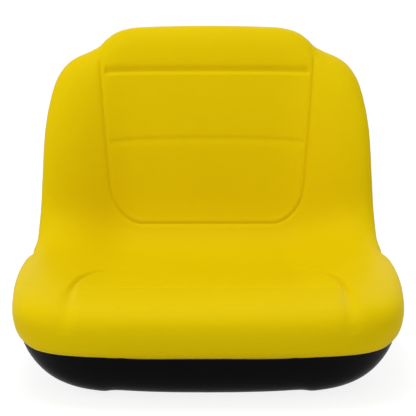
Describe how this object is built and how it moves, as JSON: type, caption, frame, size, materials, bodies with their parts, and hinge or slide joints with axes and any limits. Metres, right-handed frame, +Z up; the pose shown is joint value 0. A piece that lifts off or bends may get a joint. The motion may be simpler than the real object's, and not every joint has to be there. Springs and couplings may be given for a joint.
{
  "type": "ride-on mower seat",
  "caption": "One-piece moulded bucket seat with a padded skin in a plastic shell, bolted to a ride-on mower's seat plate to carry the operator.",
  "frame": {"origin": "centre of the four mounting holes, on the plane of the pads that rest on the seat plate", "axes": "+Z up, the seat faces -Y, +X to the right of someone looking at its front"},
  "size_m": [0.5072, 0.51, 0.4182],
  "materials": {
    "vinyl_skin": "yellow grained vinyl, satin",
    "shell_plastic": "black, lightly textured",
    "insert_steel": "zinc plated"
  },
  "bodies": {
    "root": {"cushion": "vinyl_skin", "shell": "shell_plastic", "threaded_inserts": "insert_steel"}
  },
  "joints": []
}
